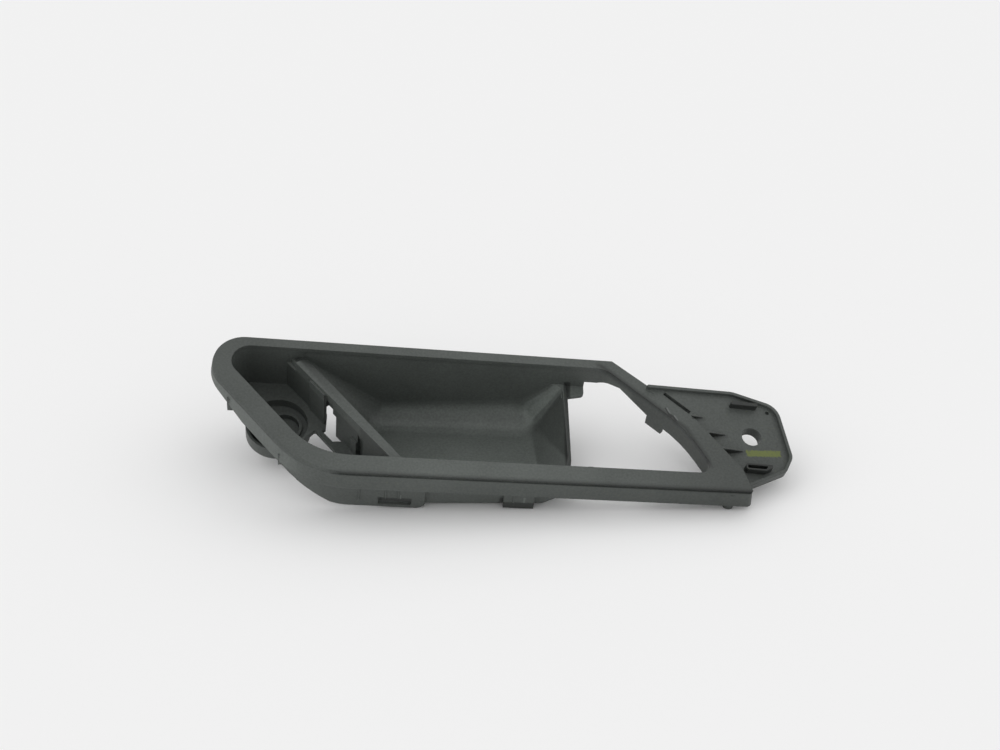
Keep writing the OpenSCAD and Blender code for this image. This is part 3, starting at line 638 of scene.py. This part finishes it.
# name, frame, middle, half sizes, soft width, turn in degrees
painted_shade_places = [
    ("latch pocket", rim_mm, (35.3, 2.0, -17.7), (6.0, 3.5, 1.7), 0.4, 0),
    ("clip foot", rim_mm, (82.0, 0.5, -17.4), (6.4, 3.0, 2.7), 0.5, 0),
    ("cut edge", rim_mm, (102.2, 34, -13), (1.0, 25, 2.4), 0.7, 0),
    ("near rib", flange_mm, (175.1, 14.0, 1.8), (5.6, 1.5, 1.5), 0.3, 0),
    ("far rib", flange_mm, (170.8, 42.1, 1.8), (5.6, 0.9, 1.5), 0.3, 0),
    ("far gusset", flange_mm, (152.4, 34.9, 1.6), (3.0, 0.8, 1.4), 0.3, 9.5),
    ("middle gusset", flange_mm, (160.2, 27.5, 1.6), (4.0, 0.8, 1.4), 0.3, 13.5),
    ("near gusset", flange_mm, (166.2, 20.6, 1.6), (5.0, 0.8, 1.4), 0.3, 14),
]


def any_place(places):
    """The strongest of the soft boxes of a list of named places."""
    return joined("MAXIMUM", [box_mask(*place) for name, *place in places])


# painted shade in the pocket, on the clip's foot, the cut edge, and the flange's ribs and gussets
colour = shade(colour, painted_shade_factor, any_place(painted_shade_places))
# painted shade on the near wall, growing toward its right end
right_end_shade = box_mask(rim_mm, centre=(190, -2, -8), half=(30, 3, 14), soft=90)
colour = shade(colour, right_end_shade_factor, right_end_shade)
print("darker:", [name for name, *place in painted_shade_places])

# %% [markdown]
# ## The partition's crest
# The crest of the partition narrows to a pale ridge toward its far end, where its slope toward the
# cup is in shade. The solid's crest keeps its width, so the tone does the narrowing: the slope
# side darkens with the distance from the ridge, more so toward the far end. The last stretch,
# where the ridge runs down to the wall, is a little paler.

# %% Crest
crest_darker = 0.45
crest_end_paler = 1.4
crest_end = (-6.2, 54.1, 0)
partition_along = (0.6565, -0.7543, 0)
from_crest_end = vector_node(paint, "SUBTRACT", rim_mm, crest_end)
from_ridge = vector_node(paint, "DOT_PRODUCT", from_crest_end, partition_across)
from_end = vector_node(paint, "DOT_PRODUCT", from_crest_end, partition_along)
crest_slope = joined("MULTIPLY", [
    rise(from_ridge, zero_at=0.9, one_at=2.15),
    rise(from_ridge, zero_at=6.25, one_at=5.0),
    rise(from_end, zero_at=30, one_at=0),
    box_mask(rim_mm, centre=(5, 42.5, -4), half=(16, 14, 2.5), soft=1.5),
])
ridge_end = box_mask(rim_mm, centre=(-8.2, 55.9, -6.5), half=(2.4, 1.7, 3.0), soft=0.6)
colour = shade(colour, crest_darker, crest_slope)
colour = shade(colour, crest_end_paler, ridge_end)
print("crest's far end:", on_table(rim_rest, crest_end), "mm on the table")

# %% [markdown]
# ## The inspection stripe
# The flange bears a yellow-green stripe, as a marker pen leaves on grained plastic: its border is
# broken. Noise is added to the soft box before it is cut off, which eats the border away in
# spots. A clean-edged box would look like a sticker.

# %% Stripe
marker_colour = (0.118, 0.142, 0.036, 1)
stripe_place = (178.2, 22.0, 0)
stripe_half = (6.6, 0.95, 0.5)
broken_spots = 0.8
broken_strength = 1.6
stripe_box = box_mask(flange_mm, stripe_place, stripe_half, soft=0.9, turn=4.2)
broken = math_node(paint, "MULTIPLY_ADD", speckle(broken_spots, 2.0), broken_strength, stripe_box)
colour = layer(colour, marker_colour, rise(broken, zero_at=0.25, one_at=0.9167))
print("stripe:", on_table(flange_rest, stripe_place), "mm on the table")

# %% [markdown]
# ## Painted rib highlights and nicks
# The latch pocket and the clip each have a painted highlight where a small rib catches the light,
# the near wall a faint pale line, and the slanted bar two torn nicks with pale rims. They are narrow
# boxes laid on last, the pale marks first and the dark nicks beside them. Cut into the skin they
# would need many tiny faces, and they are too small for their depth to show.

# %% Painted rib highlights and nicks
highlight_and_wear_colour = (0.16, 0.17, 0.165, 1)
highlight_and_wear_strength = 0.6
faint_strength = 0.16
nick_darker = 0.35
# name, frame, middle, half sizes, soft width, turn in degrees
highlight_and_wear_places = [
    ("clip rib highlight", rim_mm, (84.6, -1.0, -12.8), (0.25, 3, 1.6), 0.3, 0),
    ("pocket rib highlight", rim_mm, (37.2, -1.0, -15.0), (0.15, 3, 1.2), 0.25, 0),
    ("far nick's rim", rim_mm, (140.6, 36.4, 0), (0.12, 1.5, 0.5), 0.3, 23),
    ("near nick's rim", rim_mm, (143.3, 33.2, 0), (0.15, 1.2, 0.5), 0.3, 30),
]
nick_places = [
    ("far nick", rim_mm, (140.0, 36.2, 0), (0.15, 1.7, 0.5), 0.3, 23),
    ("near nick", rim_mm, (142.7, 32.9, 0), (0.2, 1.3, 0.5), 0.35, 30),
    ("tear between them", rim_mm, (141.2, 34.3, 0), (0.8, 0.3, 0.5), 0.5, -48),
]
faint_line = box_mask(rim_mm, centre=(27, -1, -8.8), half=(19, 2, 0.1), soft=0.3)
# painted highlights on the small ribs, and the pale rims of the nicks
pale = math_node(paint, "MULTIPLY", any_place(highlight_and_wear_places), highlight_and_wear_strength)
colour = layer(colour, highlight_and_wear_colour, pale)
colour = layer(colour, highlight_and_wear_colour, math_node(paint, "MULTIPLY", faint_line, faint_strength))
colour = shade(colour, nick_darker, any_place(nick_places))
print("marks:", [name for name, *place in highlight_and_wear_places + nick_places])

# %% [markdown]
# ## The plastic's surface
# Moulded edges are never knife-sharp. Rounding every edge of the solid would multiply its
# triangles, so a Bevel node rounds only how the edges catch the light, and a Bump node lays the
# grain over that. The Principled shader stays in the material, where the export can read it.

# %% Surface
plastic_roughness = 0.5
plastic_specular = 0.4
grain_depth = 0.06 * MM
grain_strength = 0.5
edge_radius = 0.4 * MM
soft_edge = paint.nodes.new("ShaderNodeBevel")
soft_edge.samples = 4
soft_edge.inputs["Radius"].default_value = edge_radius
bump = paint.nodes.new("ShaderNodeBump")
bump.inputs["Distance"].default_value = grain_depth
bump.inputs["Strength"].default_value = grain_strength
surface = paint.nodes.new("ShaderNodeBsdfPrincipled")
surface.inputs["Roughness"].default_value = plastic_roughness
surface.inputs["Specular IOR Level"].default_value = plastic_specular
output = paint.nodes.new("ShaderNodeOutputMaterial")
for leaving, arriving in (
        (soft_edge.outputs["Normal"], bump.inputs["Normal"]),
        (grain.outputs["Height"], bump.inputs["Height"]),
        (bump.outputs["Normal"], surface.inputs["Normal"]),
        (colour, surface.inputs["Base Color"]),
        (surface.outputs["BSDF"], output.inputs["Surface"])):
    paint.links.new(leaving, arriving)
cover_mesh.materials.clear()
cover_mesh.materials.append(plastic)
print("plastic:", len(paint.nodes), "nodes")

# %% [markdown]
# ## The ramp at the partition's far end
# On the moulding the partition's crest runs down to a plain far wall in a short ramp. The solid
# steps down there and leaves a small recess in the wall. Cutting and joining the skin would be one
# way, but two small blocks of the same plastic are simpler: a wedge for the ramp, and a block that
# fills the recess up to the wall. Each is given by the four corners of its top in the rim's frame
# and the depth of its flat underside, which shows only from below, between the cup and the well.

# %% Ramp
ramp_top = [(-6.2, 54.1, -3.85), (-2.5, 56.4, -4.4), (-6.2, 60.75, -9.6), (-9.3, 60.75, -8.9)]
ramp_under = -10.5
recess_top = [(-9.9, 58.25, -0.9), (-3.3, 58.45, -0.9), (-3.3, 61.7, -0.9), (-9.9, 61.7, -0.9)]
recess_under = -11.0
block_faces = [(0, 1, 2), (0, 2, 3), (7, 6, 5, 4)]
block_faces += [(k, k + 4, (k + 1) % 4 + 4, (k + 1) % 4) for k in range(4)]
points, faces = [], []
for top, under in ((ramp_top, ramp_under), (recess_top, recess_under)):
    first = len(points)
    points += [rim_rest @ Vector(corner) * MM for corner in top]
    points += [rim_rest @ Vector((x, y, under)) * MM for x, y, z in top]
    faces += [tuple(first + k for k in face) for face in block_faces]
ramp_mesh = bpy.data.meshes.new("crest_ramp")
ramp_mesh.from_pydata(points, [], faces)
ramp_mesh.materials.append(plastic)
ramp = bpy.data.objects.new("crest_ramp", ramp_mesh)
bpy.context.scene.collection.objects.link(ramp)
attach(ramp, "root")
print("ramp:", len(faces), "faces, top of its ridge at", on_table(rim_rest, ramp_top[0]), "mm")

# %% [markdown]
# The dressed part has to stay inside the solid's box.
